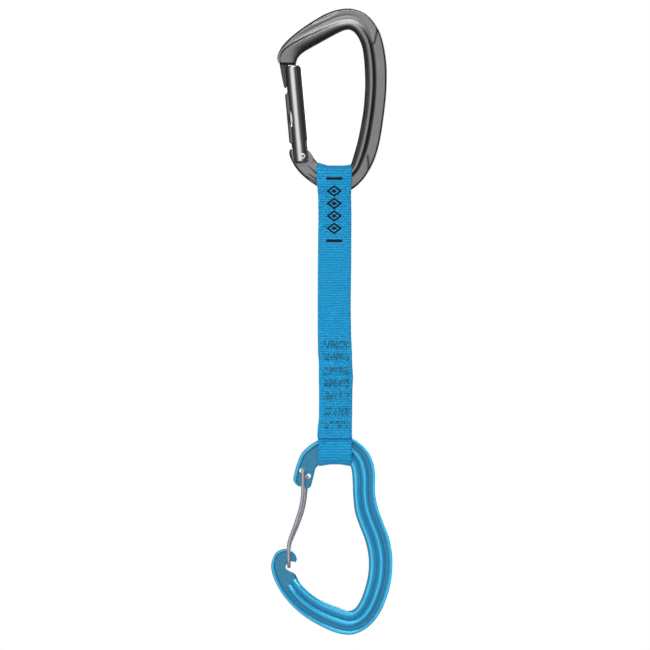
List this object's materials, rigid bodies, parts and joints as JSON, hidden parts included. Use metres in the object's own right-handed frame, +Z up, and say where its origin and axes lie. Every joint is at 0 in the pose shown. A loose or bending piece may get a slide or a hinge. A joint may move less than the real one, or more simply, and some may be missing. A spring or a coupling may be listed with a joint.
{
  "type": "climbing quickdraw",
  "caption": "Climbing quickdraw: a solid-gate carabiner and a wire-gate carabiner joined by a flat sewn webbing sling.",
  "frame": {"origin": "seat of the upper carabiner, the highest point of its inside edge, where a bolt hanger bears", "axes": "+Z up as the quickdraw hangs; the carabiners lie in the XZ plane; the gates open towards +X; +Y is through the carabiners"},
  "size_m": [0.067, 0.0212, 0.3443],
  "materials": {
    "upper_aluminium": "satin grey anodised forging",
    "gate_aluminium": "polished grey anodised barrel",
    "rivet_steel": "bright steel",
    "spring_steel": "plain steel",
    "webbing": "woven nylon with fine cross ribs",
    "tack_thread": "dense zigzag thread",
    "lower_aluminium": "gloss blue anodised forging",
    "wire_steel": "bright stainless wire"
  },
  "bodies": {
    "upper_carabiner": {"upper_body": "upper_aluminium"},
    "upper_gate": {"upper_gate": "gate_aluminium", "upper_gate_rivet": "rivet_steel", "upper_gate_spring": "spring_steel"},
    "upper_plunger": {"upper_gate_plunger": "spring_steel"},
    "sling_upper": {"sling_upper": "webbing"},
    "sling_lower": {"sling_lower": "webbing", "bar_tack_1": "tack_thread", "bar_tack_2": "tack_thread", "bar_tack_3": "tack_thread", "bar_tack_4": "tack_thread", "bar_tack_5": "tack_thread", "bar_tack_6": "tack_thread", "bar_tack_7": "tack_thread"},
    "lower_carabiner": {"lower_body": "lower_aluminium"},
    "wire_gate": {"wire_gate": "wire_steel"}
  },
  "joints": [
    {"name": "gate_hinge", "type": "hinge", "parent": "upper_carabiner", "child": "upper_gate", "pos_m": [-0.0251, 0, -0.0696], "axis": [0, 1, 0], "range_deg": [0, 27], "stiffness_Nm_per_rad": 0.53, "springref_deg": -26.93},
    {"name": "plunger_slide", "type": "slide", "parent": "upper_gate", "child": "upper_plunger", "axis": [-0.0915, 0, 0.9958], "range_m": [0, 0.0015], "deforming": ["upper_gate_spring"]},
    {"name": "sling_swing", "type": "hinge", "parent": "upper_carabiner", "child": "sling_upper", "pos_m": [-0.00755, 0, -0.0822], "axis": [1, 0, 0], "range_deg": [-90, 90]},
    {"name": "sling_twist", "type": "hinge", "parent": "sling_upper", "child": "sling_lower", "pos_m": [-0.00755, 0, -0.152], "axis": [0, 0, 1], "range_deg": [-90, 90], "stiffness_Nm_per_rad": 0.02},
    {"name": "lower_eye_tilt", "type": "hinge", "parent": "sling_lower", "child": "lower_carabiner", "pos_m": [-0.00755, 0, -0.2309], "axis": [1, 0, 0], "range_deg": [-30, 30]},
    {"name": "wire_hinge", "type": "hinge", "parent": "lower_carabiner", "child": "wire_gate", "pos_m": [-0.02385, 0, -0.24385], "axis": [0, -1, 0], "range_deg": [0, 26], "stiffness_Nm_per_rad": 0.49, "springref_deg": -17.19}
  ],
  "couplings": [
    {"joint": "plunger_slide", "follows": "gate_hinge", "m_per_rad": 0.0028}
  ]
}
